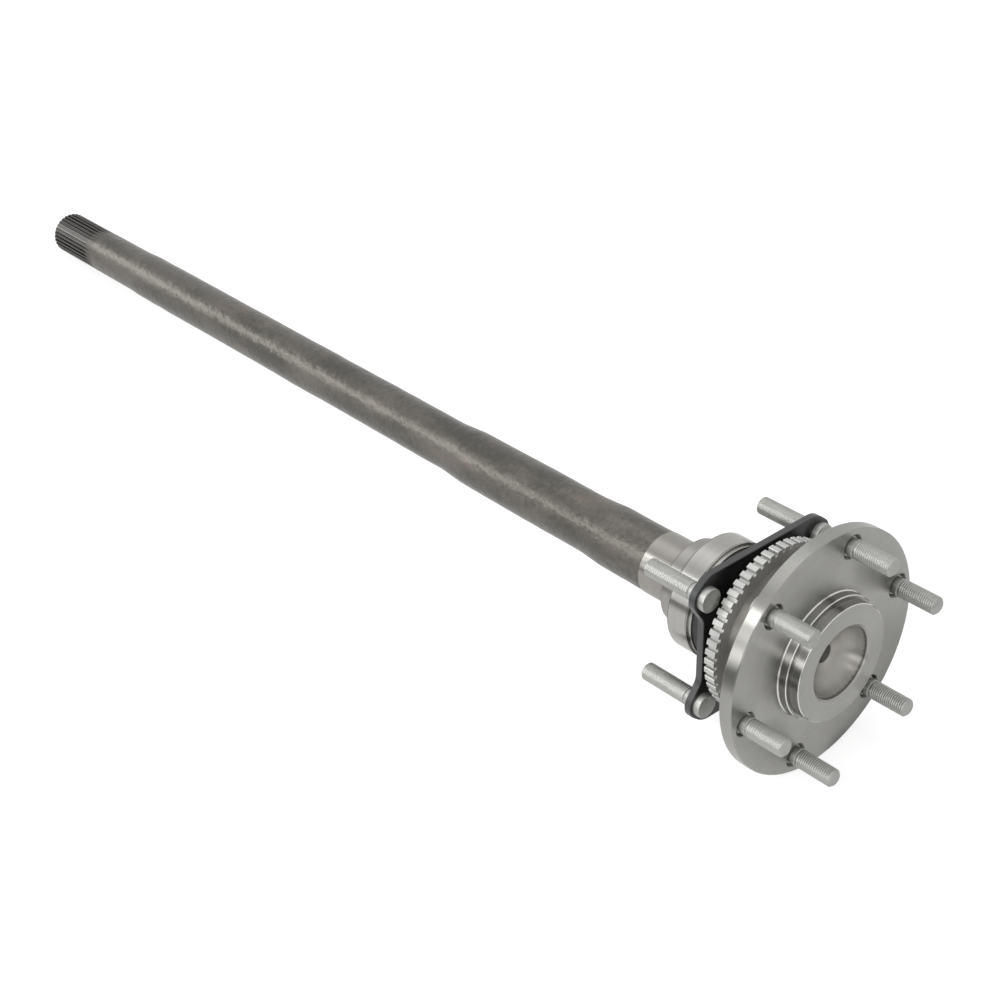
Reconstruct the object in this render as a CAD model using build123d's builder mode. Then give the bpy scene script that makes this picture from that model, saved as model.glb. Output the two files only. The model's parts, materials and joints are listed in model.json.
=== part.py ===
from build123d import *
from math import cos, radians, sin, sqrt, tan
import os

# Axle shaft of a driven rear wheel, with its wheel studs, toothed speed ring, ball bearing,
# oil seal and bearing retainer. Millimetres. +X runs along the shaft from the splined end out to
# the wheel, +Z is up, and the origin is the centre of the flange's wheel face.

# Wheel flange
flange_thickness = 9.4
flange_edge = 0.6
flange_rim = 3.45
stud_circle_radius = 69.85
stud_count = 6
stud_turn = 14.0
stud_hole_radius = 6.5
stud_hole_mouth = 8.5

# Two stepped pilots on the wheel face, for the brake drum and for the wheel
wheel_pilot_radius = 39.2
wheel_pilot_length = 7.7
drum_pilot_step = 2.1
drum_pilot_length = 6.3
pilot_edge = 0.6
pilot_foot = 0.9
relief_width = 1.2
relief_depth = 0.8

# Forged recess in the pilot, and the centre drillings of both ends
recess_radius = 24.2
recess_draft = 1.6
recess_depth = 13.8
recess_corner = 10.0
recess_edge = 1.6
centre_mouth = 6.2
centre_drill = 3.0
centre_depth = 16.0
tail_centre_mouth = 5.0
tail_centre_drill = 2.2
tail_centre_depth = 9.0

# Hub behind the flange, which carries the toothed ring
hub_stud_clearance = 3.65
hub_shoulder = 5.5
hub_cone_length = 13.0
hub_fillet = 5.0

# Toothed speed ring
ring_teeth = 54
ring_tip_radius = 57.5
ring_tooth_height = 2.6
ring_bore_radius = 42.0
ring_width = 7.6
ring_setback = 35.9
ring_tip_gap = 3.3
ring_root_gap = 2.2
ring_tooth_edge = 0.4
ring_turn = 6.0
ring_seat_over = 1.4

# Shaft body, from the bearing seat to the splined end
shaft_length = 850.0
journal_fillet = 4.0
bearing_bore_radius = 22.5
bearing_shoulder = 5.0
seat_step = 0.8
ground_end = 134.0
root_bar_radius = 21.1
root_bar_end = 175.0
middle_bar_radius = 19.6
middle_bar_start = 194.0
middle_bar_end = 313.0
long_bar_radius = 17.85
long_bar_start = 336.0
long_bar_end = 723.0
tail_radius = 17.1
tail_start = 737.0
forging_blend = 40.0

# Spline on the tail, with the run-out that its cutter leaves
spline_teeth = 30
spline_length = 46.0
spline_depth = 1.5
spline_tip_gap = 2.1
spline_root_gap = 1.1
spline_cutter_radius = 60.0
spline_edge = 1.7

# Ball bearing
bearing_setback = 72.6
bearing_outer_radius = 39.6
bearing_step = 1.3
bearing_step_width = 2.8
bearing_edge = 0.8
ball_count = 9
ball_share = 0.64912
ball_clearance = 0.04
race_conformity = 1.04
race_cover = 0.41
shield_thickness = 0.8
shield_recess = 1.2
shield_seat = 0.9
shield_gap = 0.3
cage_gap_share = 0.2162
cage_shield_gap = 1.15
cage_sheet = 0.9
pocket_gap = 0.1
rivet_radius = 0.9
rivet_head_radius = 1.5
rivet_head_height = 0.5

# Collar that holds the bearing on its seat
collar_wall = 6.5
collar_width = 15.8
collar_edge = 0.8

# Oil seal between the bearing and the retainer plate
seal_inset = 0.9
seal_wall = 2.0
seal_nose_reach = 3.8
seal_nose_inset = 0.8
seal_web = 2.0
lip_height = 3.5
lip_gap = 0.2
lip_tip_reach = 6.5
lip_length = 8.5
lip_flex = 1.5
spring_radius = 0.7
spring_sink = 0.6
spring_sides = 8

# Retainer plate and its four bolts
plate_setback = 50.2
plate_thickness = 5.0
plate_margin = 14.7
plate_waist_offset = 1.1
plate_corner_fillet = 16.0
plate_waist_fillet = 10.0
plate_edge = 0.4
ear_radius = 10.2
ear_upper_slope = 50.0
ear_lower_slope = 34.0
bolt_spacing_y = 101.2
bolt_spacing_z = 78.2
bolt_shank_radius = 6.0
bolt_press_radius = 6.5
bolt_head_radius = 8.0
bolt_head_height = 4.7
bolt_head_edge = 0.7
bolt_reach = 41.6
bolt_tip_edge = 1.3

# Wheel studs
stud_shank_radius = 6.0
stud_neck_cut = 0.5
stud_head_radius = 9.2
stud_head_height = 3.0
stud_head_edge = 0.8
stud_reach = 31.2
stud_tip_edge = 1.6

# Places and sizes that follow from those above
flange_radius = stud_circle_radius + stud_hole_mouth + flange_rim
drum_pilot_radius = wheel_pilot_radius + drum_pilot_step
hub_root_radius = stud_circle_radius - stud_head_radius - hub_stud_clearance
hub_radius = ring_bore_radius + hub_shoulder
journal_radius = bearing_bore_radius + bearing_shoulder
ground_radius = bearing_bore_radius - seat_step
collar_radius = bearing_bore_radius + collar_wall
flange_back = -flange_thickness
pilot_step = drum_pilot_length
pilot_end = pilot_step + wheel_pilot_length
ring_out = -ring_setback
ring_in = ring_out - ring_width
hub_end = ring_in - ring_seat_over
plate_out = -plate_setback
plate_in = plate_out - plate_thickness
bearing_out = -bearing_setback
ball_orbit = (bearing_outer_radius + bearing_bore_radius) / 2
ball_radius = (bearing_outer_radius - bearing_bore_radius) * ball_share / 2
pocket_radius = ball_radius + pocket_gap
bearing_mouth = shield_recess + shield_thickness + cage_shield_gap
bearing_width = 2 * (pocket_radius + cage_sheet + bearing_mouth)
bearing_in = bearing_out - bearing_width
bearing_middle = (bearing_out + bearing_in) / 2
collar_in = bearing_in - collar_width
tail_face = -shaft_length
spline_end = tail_face + spline_length
spline_root_radius = tail_radius - spline_depth
spline_runout = sqrt(spline_cutter_radius**2 - (spline_cutter_radius - spline_depth) ** 2)
stud_hole_sink = stud_hole_mouth - stud_hole_radius
bearing_step_radius = bearing_outer_radius - bearing_step
race_depth = ball_radius * race_cover
race_radius = ball_radius * race_conformity
race_shift = race_radius - ball_radius - ball_clearance
inner_shoulder = ball_orbit - ball_radius + race_depth
outer_shoulder = ball_orbit + ball_radius - race_depth
shield_outer_radius = outer_shoulder + shield_seat
cage_gap = ball_radius * cage_gap_share
cage_inner_radius = inner_shoulder + cage_gap
cage_outer_radius = outer_shoulder - cage_gap
seal_radius = bearing_step_radius - seal_inset
seal_web_radius = journal_radius + lip_height
plate_bore_radius = (seal_web_radius + seal_radius) / 2
spring_orbit = seal_web_radius - spring_sink
bolt_y = bolt_spacing_y / 2
bolt_z = bolt_spacing_z / 2
plate_waist = bolt_y + plate_waist_offset
plate_half_height = bolt_z + plate_margin
lip_tip_radius = journal_radius + lip_gap
full_circle = 360.0

os.makedirs("parts", exist_ok=True)


# Axle shaft: one forging with the flange, both pilots, the hub, the seats and the spline
with BuildPart() as axle_shaft:
    with BuildSketch():
        Polygon(
            (tail_face, 0),
            (tail_face, tail_radius - spline_edge),
            (tail_face + spline_edge, tail_radius),
            (-tail_start, tail_radius),
            (-long_bar_end, long_bar_radius),
            (-long_bar_start, long_bar_radius),
            (-middle_bar_end, middle_bar_radius),
            (-middle_bar_start, middle_bar_radius),
            (-root_bar_end, root_bar_radius),
            (-ground_end - seat_step, root_bar_radius),
            (-ground_end, ground_radius),
            (collar_in - seat_step, ground_radius),
            (collar_in, bearing_bore_radius),
            (bearing_out, bearing_bore_radius),
            (bearing_out, journal_radius),
            (hub_end, journal_radius),
            (hub_end, ring_bore_radius - seat_step),
            (hub_end + seat_step, ring_bore_radius),
            (ring_out, ring_bore_radius),
            (ring_out, hub_radius),
            (flange_back - hub_cone_length, hub_radius),
            (flange_back, hub_root_radius),
            (flange_back, flange_radius - flange_edge),
            (flange_back + flange_edge, flange_radius),
            (-flange_edge, flange_radius),
            (0, flange_radius - flange_edge),
            (0, drum_pilot_radius + pilot_foot),
            (pilot_foot, drum_pilot_radius),
            (pilot_step - pilot_edge, drum_pilot_radius),
            (pilot_step, drum_pilot_radius - pilot_edge),
            (pilot_step, wheel_pilot_radius - relief_depth),
            (pilot_step + relief_width, wheel_pilot_radius - relief_depth),
            (pilot_step + relief_width + relief_depth, wheel_pilot_radius),
            (pilot_end - pilot_edge, wheel_pilot_radius),
            (pilot_end, wheel_pilot_radius - pilot_edge),
            (pilot_end, recess_radius + recess_edge),
            (pilot_end - recess_edge, recess_radius),
            (pilot_end - recess_depth, recess_radius - recess_draft),
            (pilot_end - recess_depth, centre_mouth),
            (pilot_end - recess_depth - centre_mouth + centre_drill, centre_drill),
            (pilot_end - centre_depth - centre_drill, centre_drill),
            (pilot_end - centre_depth - centre_drill, 0),
            align=None,
        )
        forged_corners = [
            (-long_bar_end, long_bar_radius),
            (-long_bar_start, long_bar_radius),
            (-middle_bar_end, middle_bar_radius),
            (-middle_bar_start, middle_bar_radius),
            (-root_bar_end, root_bar_radius),
        ]
        for place in forged_corners:
            fillet(vertices().sort_by_distance(place)[0], forging_blend)
        fillet(vertices().sort_by_distance((flange_back - hub_cone_length, hub_radius))[0], hub_fillet)
        fillet(vertices().sort_by_distance((flange_back, hub_root_radius))[0], hub_fillet)
        fillet(vertices().sort_by_distance((hub_end, journal_radius))[0], journal_fillet)
        recess_floor = (pilot_end - recess_depth, recess_radius - recess_draft)
        fillet(vertices().sort_by_distance(recess_floor)[0], recess_corner)
    revolve(axis=Axis.X)
    with Locations(Plane.YZ):
        with PolarLocations(stud_circle_radius, stud_count, stud_turn):
            CounterSinkHole(
                radius=stud_hole_radius,
                counter_sink_radius=stud_hole_mouth,
                depth=flange_thickness + hub_cone_length,
                counter_sink_angle=90,
            )
    with Locations(Plane(origin=(tail_face, 0, 0), x_dir=(0, 1, 0), z_dir=(-1, 0, 0))):
        CounterSinkHole(
            radius=tail_centre_drill,
            counter_sink_radius=tail_centre_mouth,
            depth=tail_centre_depth,
            counter_sink_angle=60,
        )

# Gaps of the spline, cut to full depth and then run out on the radius of the cutter
with BuildPart() as spline_gaps:
    with BuildSketch(Plane.YZ.offset(tail_face)):
        with PolarLocations(tail_radius - spline_depth / 2, spline_teeth):
            Polygon(
                (-spline_depth / 2, -spline_root_gap / 2),
                (spline_depth, -spline_tip_gap / 2),
                (spline_depth, spline_tip_gap / 2),
                (-spline_depth / 2, spline_root_gap / 2),
                align=None,
            )
    extrude(amount=spline_length + spline_runout)
    with BuildSketch():
        with BuildLine():
            ramp = RadiusArc(
                (spline_end, spline_root_radius),
                (spline_end + spline_runout, tail_radius),
                spline_cutter_radius,
            )
            Polyline(ramp @ 1, (spline_end + spline_runout, 0), (spline_end, 0), ramp @ 0)
        make_face()
    revolve(axis=Axis.X, mode=Mode.SUBTRACT)
with axle_shaft:
    add(spline_gaps.part, mode=Mode.SUBTRACT)
axle_shaft.part.label = "axle_shaft"
export_step(axle_shaft.part, "parts/axle_shaft.step")

# Toothed ring, pressed on the hub
with BuildPart() as tone_ring:
    with BuildSketch(Plane.YZ.offset(ring_in)):
        Circle(ring_tip_radius)
        half_pitch = full_circle / ring_teeth / 2
        with PolarLocations(ring_tip_radius - ring_tooth_height, ring_teeth, ring_turn + half_pitch):
            Polygon(
                (0, -ring_root_gap / 2),
                (ring_tooth_height - ring_tooth_edge, -ring_tip_gap / 2 + ring_tooth_edge),
                (ring_tooth_height + ring_tooth_edge, -ring_tip_gap / 2 - ring_tooth_edge),
                (ring_tooth_height + ring_tooth_edge, ring_tip_gap / 2 + ring_tooth_edge),
                (ring_tooth_height - ring_tooth_edge, ring_tip_gap / 2 - ring_tooth_edge),
                (0, ring_root_gap / 2),
                align=None,
                mode=Mode.SUBTRACT,
            )
        Circle(ring_bore_radius, mode=Mode.SUBTRACT)
    extrude(amount=ring_width)
tone_ring.part.label = "tone_ring"
export_step(tone_ring.part, "parts/tone_ring.step")

# Wheel stud, along +Z from the flange's wheel face, pressed in from behind
with BuildPart() as wheel_stud:
    with BuildSketch(Plane.XZ):
        Polygon(
            (0, flange_back - stud_head_height),
            (stud_head_radius - stud_head_edge, flange_back - stud_head_height),
            (stud_head_radius, flange_back - stud_head_height + stud_head_edge),
            (stud_head_radius, flange_back),
            (stud_hole_radius, flange_back),
            (stud_hole_radius, -stud_hole_sink),
            (stud_shank_radius - stud_neck_cut, -stud_hole_sink),
            (stud_shank_radius - stud_neck_cut, -stud_neck_cut),
            (stud_shank_radius, 0),
            (stud_shank_radius, stud_reach - stud_tip_edge),
            (stud_shank_radius - stud_tip_edge, stud_reach),
            (0, stud_reach),
            align=None,
        )
    revolve(axis=Axis.Z)
with BuildPart(Plane.YZ) as wheel_studs:
    with PolarLocations(stud_circle_radius, stud_count, stud_turn):
        add(wheel_stud.part)
wheel_studs.part.label = "wheel_studs"
export_step(wheel_studs.part, "parts/wheel_studs.step")

# Bearing rings, each with a groove a little rounder than the balls
with BuildPart() as bearing_inner_ring:
    with BuildSketch():
        Polygon(
            (bearing_in, bearing_bore_radius),
            (bearing_in, inner_shoulder),
            (bearing_out, inner_shoulder),
            (bearing_out, bearing_bore_radius),
            align=None,
        )
        with Locations((bearing_middle, ball_orbit + race_shift)):
            Circle(race_radius, mode=Mode.SUBTRACT)
    revolve(axis=Axis.X)
bearing_inner_ring.part.label = "bearing_inner_ring"
export_step(bearing_inner_ring.part, "parts/bearing_inner_ring.step")

with BuildPart() as bearing_outer_ring:
    with BuildSketch():
        Polygon(
            (bearing_in, shield_outer_radius),
            (bearing_in, bearing_outer_radius - bearing_edge),
            (bearing_in + bearing_edge, bearing_outer_radius),
            (bearing_out - bearing_step_width, bearing_outer_radius),
            (bearing_out - bearing_step_width, bearing_step_radius),
            (bearing_out, bearing_step_radius),
            (bearing_out, shield_outer_radius),
            (bearing_out - shield_recess - shield_thickness, shield_outer_radius),
            (bearing_out - shield_recess - shield_thickness, outer_shoulder),
            (bearing_in + shield_recess + shield_thickness, outer_shoulder),
            (bearing_in + shield_recess + shield_thickness, shield_outer_radius),
            align=None,
        )
        with Locations((bearing_middle, ball_orbit - race_shift)):
            Circle(race_radius, mode=Mode.SUBTRACT)
    revolve(axis=Axis.X)
bearing_outer_ring.part.label = "bearing_outer_ring"
export_step(bearing_outer_ring.part, "parts/bearing_outer_ring.step")

# Shields, seated against the step in each mouth of the outer ring
shield_places = {
    "bearing_shield_inboard": bearing_in + shield_recess,
    "bearing_shield_outboard": bearing_out - shield_recess - shield_thickness,
}
for name, place in shield_places.items():
    with BuildPart() as shield:
        with BuildSketch(Plane.YZ.offset(place)):
            Circle(shield_outer_radius)
            Circle(inner_shoulder + shield_gap, mode=Mode.SUBTRACT)
        extrude(amount=shield_thickness)
    shield.part.label = name
    export_step(shield.part, f"parts/{name}.step")

# Balls, each in its own pocket of the cage
cage_plane = Plane.YZ.offset(bearing_middle)
ball_places = PolarLocations(ball_orbit, ball_count)
for index, place in enumerate(ball_places.locations, start=1):
    with BuildPart(cage_plane) as ball:
        with Locations(place):
            Sphere(ball_radius)
    ball.part.label = f"ball_{index}"
    export_step(ball.part, f"parts/ball_{index}.step")

# Cage of two pressed halves, flat between the balls and arched over them, riveted together
for name, side in {"cage_half_inboard": -1, "cage_half_outboard": 1}.items():
    with BuildPart() as cage_half:
        with BuildSketch(cage_plane) as cage_band:
            Circle(cage_outer_radius)
            Circle(cage_inner_radius, mode=Mode.SUBTRACT)
        extrude(amount=side * cage_sheet)
        with Locations(cage_plane):
            with PolarLocations(ball_orbit, ball_count):
                Cylinder(pocket_radius + cage_sheet, bearing_width, rotation=(0, 90, 0))
        extrude(cage_band.sketch, amount=side * bearing_width, mode=Mode.INTERSECT)
        with Locations(cage_plane):
            with PolarLocations(ball_orbit, ball_count):
                Cylinder(pocket_radius, bearing_width, rotation=(0, 90, 0), mode=Mode.SUBTRACT)
            with PolarLocations(ball_orbit, ball_count, full_circle / ball_count / 2):
                Hole(rivet_radius)
    cage_half.part.label = name
    export_step(cage_half.part, f"parts/{name}.step")

with BuildPart() as cage_rivets:
    with BuildSketch(cage_plane):
        with PolarLocations(ball_orbit, ball_count, full_circle / ball_count / 2):
            Circle(rivet_radius)
    extrude(amount=cage_sheet, both=True)
    for side in (-1, 1):
        with BuildSketch(cage_plane.offset(side * cage_sheet)):
            with PolarLocations(ball_orbit, ball_count, full_circle / ball_count / 2):
                Circle(rivet_head_radius)
        extrude(amount=side * rivet_head_height)
cage_rivets.part.label = "cage_rivets"
export_step(cage_rivets.part, "parts/cage_rivets.step")

# Collar pressed against the inner ring
with BuildPart() as retaining_collar:
    with BuildSketch():
        Polygon(
            (collar_in, bearing_bore_radius),
            (collar_in, collar_radius - collar_edge),
            (collar_in + collar_edge, collar_radius),
            (bearing_in - collar_edge, collar_radius),
            (bearing_in, collar_radius - collar_edge),
            (bearing_in, bearing_bore_radius),
            align=None,
        )
    revolve(axis=Axis.X)
retaining_collar.part.label = "retaining_collar"
export_step(retaining_collar.part, "parts/retaining_collar.step")

# Seal case, between the outer ring and the plate, with a nose in the plate's bore
with BuildPart() as seal_case:
    with BuildSketch():
        Polygon(
            (bearing_out, seal_radius - seal_wall),
            (bearing_out, seal_radius),
            (plate_in, seal_radius),
            (plate_in, plate_bore_radius),
            (plate_in + seal_nose_reach, plate_bore_radius),
            (plate_in + seal_nose_reach, seal_web_radius + seal_nose_inset),
            (plate_in, seal_web_radius + seal_nose_inset),
            (plate_in, seal_web_radius),
            (plate_in - seal_web, seal_web_radius),
            (plate_in - seal_web, seal_radius - seal_wall),
            align=None,
        )
    revolve(axis=Axis.X)
seal_case.part.label = "seal_case"
export_step(seal_case.part, "parts/seal_case.step")

# Lip of the seal, held to the journal by a garter spring
spring_place = plate_in - lip_tip_reach
with BuildPart() as seal_lip:
    with BuildSketch():
        Polygon(
            (plate_in, seal_web_radius),
            (plate_in, seal_web_radius - lip_flex),
            (plate_in - seal_web - lip_flex, spring_orbit - lip_flex),
            (spring_place, lip_tip_radius),
            (plate_in - lip_length, spring_orbit - lip_flex),
            (plate_in - lip_length, spring_orbit),
            (plate_in - seal_web - lip_flex, spring_orbit),
            (plate_in - seal_web, seal_web_radius),
            align=None,
        )
        with Locations((spring_place, spring_orbit)):
            RegularPolygon(spring_radius, spring_sides, mode=Mode.SUBTRACT)
    revolve(axis=Axis.X)
seal_lip.part.label = "seal_lip"
export_step(seal_lip.part, "parts/seal_lip.step")

with BuildPart() as seal_spring:
    with BuildSketch():
        with Locations((spring_place, spring_orbit)):
            RegularPolygon(spring_radius, spring_sides)
    revolve(axis=Axis.X)
seal_spring.part.label = "seal_spring"
export_step(seal_spring.part, "parts/seal_spring.step")

# Retainer plate, drawn as one quarter: each ear is rounded about its bolt
ear_side = bolt_y + ear_radius
ear_top = bolt_z + ear_radius * tan(radians(ear_upper_slope / 2))
ear_bottom = bolt_z - ear_radius * tan(radians(ear_lower_slope / 2))
top_rise = plate_half_height - ear_top
top_corner = ear_side - top_rise * tan(radians(ear_upper_slope))
waist_corner = ear_bottom - (ear_side - plate_waist) / tan(radians(ear_lower_slope))
with BuildPart() as retainer_plate:
    with BuildSketch(Plane.YZ.offset(plate_in)):
        Polygon(
            (0, 0),
            (plate_waist, 0),
            (plate_waist, waist_corner),
            (ear_side, ear_bottom),
            (ear_side, ear_top),
            (top_corner, plate_half_height),
            (0, plate_half_height),
            align=None,
        )
        fillet(vertices().sort_by_distance((plate_waist, waist_corner))[0], plate_waist_fillet)
        fillet(vertices().sort_by_distance((ear_side, ear_bottom))[0], ear_radius)
        fillet(vertices().sort_by_distance((ear_side, ear_top))[0], ear_radius)
        fillet(vertices().sort_by_distance((top_corner, plate_half_height))[0], plate_corner_fillet)
        mirror(about=Plane.XZ)
        mirror(about=Plane.YZ)
    extrude(amount=plate_thickness)
    chamfer(edges().group_by(Axis.X)[0] + edges().group_by(Axis.X)[-1], plate_edge)
    with BuildSketch(Plane.YZ.offset(plate_in)):
        Circle(plate_bore_radius)
        with GridLocations(bolt_spacing_y, bolt_spacing_z, 2, 2):
            Circle(bolt_press_radius)
    extrude(amount=plate_thickness, mode=Mode.SUBTRACT)
retainer_plate.part.label = "retainer_plate"
export_step(retainer_plate.part, "parts/retainer_plate.step")

# Retainer bolt, along +Z from the plate's outboard face, pressed through the plate
with BuildPart() as retainer_bolt:
    with BuildSketch(Plane.XZ):
        Polygon(
            (0, bolt_head_height),
            (bolt_head_radius - bolt_head_edge, bolt_head_height),
            (bolt_head_radius, bolt_head_height - bolt_head_edge),
            (bolt_head_radius, 0),
            (bolt_press_radius, 0),
            (bolt_press_radius, -plate_thickness),
            (bolt_shank_radius, -plate_thickness),
            (bolt_shank_radius, -plate_thickness - bolt_reach + bolt_tip_edge),
            (bolt_shank_radius - bolt_tip_edge, -plate_thickness - bolt_reach),
            (0, -plate_thickness - bolt_reach),
            align=None,
        )
    revolve(axis=Axis.Z)
with BuildPart(Plane.YZ.offset(plate_out)) as retainer_bolts:
    with GridLocations(bolt_spacing_y, bolt_spacing_z, 2, 2):
        add(retainer_bolt.part)
retainer_bolts.part.label = "retainer_bolts"
export_step(retainer_bolts.part, "parts/retainer_bolts.step")
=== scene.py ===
# %% [markdown]
# # Rear axle shaft
# The part is a steel forging about 0.88 m long: a bar with a splined end, a wheel flange with six
# studs, a toothed ring, a ball bearing and a black retainer plate with four bolts. The packed
# model already holds every piece at its real size. This file gives the pieces their finishes,
# cuts the threads, roughens the forged bar, and sets the camera and lamps.
#
# The shaft's axis is X, with the wheel at its positive end, and Z is up. Shapes, and places in a
# finish, are in millimetres. Blender's own numbers are in metres: a mesh, a lamp, and the size of
# noise or the depth of a bump.

import json
import math

import bpy
import numpy as np
from mathutils import Euler, Matrix, Vector


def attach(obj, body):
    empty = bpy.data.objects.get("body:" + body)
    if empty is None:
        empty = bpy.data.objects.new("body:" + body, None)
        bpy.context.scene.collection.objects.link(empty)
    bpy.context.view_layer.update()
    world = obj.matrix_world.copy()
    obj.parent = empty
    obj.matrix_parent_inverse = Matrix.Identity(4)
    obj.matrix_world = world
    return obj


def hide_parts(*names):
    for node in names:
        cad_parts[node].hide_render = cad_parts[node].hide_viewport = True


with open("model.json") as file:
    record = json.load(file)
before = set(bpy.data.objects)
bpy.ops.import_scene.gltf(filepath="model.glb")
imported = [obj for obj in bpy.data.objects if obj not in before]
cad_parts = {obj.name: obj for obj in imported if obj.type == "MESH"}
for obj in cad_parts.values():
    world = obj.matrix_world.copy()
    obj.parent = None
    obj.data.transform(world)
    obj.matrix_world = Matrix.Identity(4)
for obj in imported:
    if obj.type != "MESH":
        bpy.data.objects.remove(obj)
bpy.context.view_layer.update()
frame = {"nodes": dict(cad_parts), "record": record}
nodes = frame["nodes"]
MM = 0.001

# %% [markdown]
# ## Camera
# The photograph looks down on the flange from its wheel side, about a third of a right angle above
# the axis. The camera could be aimed at a point, but its place and three angles were worked out
# from the circles of the flange, so these are written down as they are.

# %% Camera
CAMERA_PLACE = Vector((0.584902, -0.766680, 0.703004))
CAMERA_AZIMUTH = 48.7707
CAMERA_ELEVATION = 31.9637
CAMERA_ROLL = -1.3156
LENS = 70.78
SENSOR_WIDTH = 36.0


def add_camera():
    """A camera at its place, turned by azimuth and elevation, then rolled about its own view."""
    data = bpy.data.cameras.new("camera")
    data.lens = LENS
    data.sensor_width = SENSOR_WIDTH
    camera = bpy.data.objects.new("camera", data)
    bpy.context.scene.collection.objects.link(camera)
    aim = Euler((math.radians(90 - CAMERA_ELEVATION), 0, math.radians(CAMERA_AZIMUTH))).to_matrix()
    turn = aim @ Matrix.Rotation(math.radians(CAMERA_ROLL), 3, "Z")
    camera.matrix_world = Matrix.Translation(CAMERA_PLACE) @ turn.to_4x4()
    bpy.context.scene.camera = camera
    return camera


print("camera", add_camera().name)

# %% [markdown]
# ## Node helpers
# A material is a tree of nodes. Writing each node by hand takes four lines, so one helper makes
# a node, sets its inputs and links whatever is another node's output. The rest are short names
# for the few nodes that nearly every finish here is built from.


# %% Node helpers
def add_node(tree, kind, inputs=None, **settings):
    """A node of one kind. An input is a number, a colour or another node's output."""
    made = tree.nodes.new(kind)
    for name, value in settings.items():
        setattr(made, name, value)
    for name, value in (inputs or {}).items():
        if isinstance(value, bpy.types.NodeSocket):
            tree.links.new(value, made.inputs[name])
        else:
            made.inputs[name].default_value = value
    return made


def work_out(tree, operation, *values):
    """One step of arithmetic on one, two or three values."""
    inputs = dict(enumerate(values))
    return add_node(tree, "ShaderNodeMath", inputs, operation=operation).outputs[0]


def between(tree, value, low, high, to_low=0.0, to_high=1.0):
    """Maps low..high to to_low..to_high with soft ends, and holds still outside.

    Low may be the larger of the two: then the result grows as the value falls.
    """
    inputs = {"Value": value, 1: low, 2: high, 3: to_low, 4: to_high}
    made = add_node(tree, "ShaderNodeMapRange", inputs, interpolation_type="SMOOTHSTEP")
    return made.outputs[0]


def blend_values(tree, share, first, second):
    """First value at share 0 and second at share 1."""
    return add_node(tree, "ShaderNodeMix", {0: share, 2: first, 3: second}).outputs[0]


def blend_colour(tree, share, first, second):
    """First colour at share 0 and second at share 1. Each is (r, g, b) or a node's output."""
    first, second = ((*c, 1.0) if isinstance(c, tuple) else c for c in (first, second))
    inputs = {0: share, 6: first, 7: second}
    return add_node(tree, "ShaderNodeMix", inputs, data_type="RGBA").outputs[2]


def noise(tree, place, size, detail=2.0, roughness=0.5):
    """Cloudy values about 0.5, with clouds about as wide as size, in metres."""
    inputs = {"Vector": place, "Scale": 1 / size, "Detail": detail, "Roughness": roughness}
    return add_node(tree, "ShaderNodeTexNoise", inputs).outputs[0]


def shade(colour, share, lift=0.0):
    """A colour times a share, plus a little grey."""
    return tuple(c * share + lift for c in colour)


# %% [markdown]
# ## Shared effects
# The same three effects turn up on many finishes, so each is a node group, built once. The first
# says where a point lies about the shaft's axis. The second draws the rings that a turning tool
# leaves. The third gives clouds of slightly different tone, as oil and handling do.

# %% Shared effects
FINER = 3.0
FINE_WEIGHT = 0.5


def new_group(name, inputs, outputs):
    """An empty node group with named number inputs and outputs."""
    group = bpy.data.node_groups.new(name, "ShaderNodeTree")
    for socket, value in inputs.items():
        made = group.interface.new_socket(socket, in_out="INPUT", socket_type="NodeSocketFloat")
        made.default_value = value
    for socket in outputs:
        group.interface.new_socket(socket, in_out="OUTPUT", socket_type="NodeSocketFloat")
    entry = group.nodes.new("NodeGroupInput") if inputs else None
    return group, entry, group.nodes.new("NodeGroupOutput")


def axis_place_group():
    """Place along the axis and distance from it, in millimetres: x and the root of y2 + z2."""
    group, _, leave = new_group("axis_place", {}, ["Along", "Radius"])
    place = add_node(group, "ShaderNodeTexCoord").outputs["Object"]
    parts = add_node(group, "ShaderNodeSeparateXYZ", {0: place}).outputs
    flat = add_node(group, "ShaderNodeCombineXYZ", {1: parts[1], 2: parts[2]}).outputs[0]
    length = add_node(group, "ShaderNodeVectorMath", {0: flat}, operation="LENGTH")
    for output, metres in {"Along": parts[0], "Radius": length.outputs["Value"]}.items():
        group.links.new(work_out(group, "DIVIDE", metres, MM), leave.inputs[output])
    return group


def turned_marks_group(axis_place):
    """Rings about the axis: noise of one value, x + radius, so ends and sides both get rings.

    Pitch and Band are the widths of the fine and the broad rings, in millimetres.
    """
    group, entry, leave = new_group("turned_marks", {"Pitch": 0.5, "Band": 6.0}, ["Fine", "Broad"])
    where = add_node(group, "ShaderNodeGroup", node_tree=axis_place).outputs
    across = work_out(group, "ADD", where["Along"], where["Radius"])
    for output, size in {"Fine": "Pitch", "Broad": "Band"}.items():
        turn = work_out(group, "DIVIDE", across, entry.outputs[size])
        inputs = {"W": turn, "Scale": 1.0, "Detail": 2.0}
        rings = add_node(group, "ShaderNodeTexNoise", inputs, noise_dimensions="1D").outputs[0]
        group.links.new(rings, leave.inputs[output])
    return group


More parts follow.
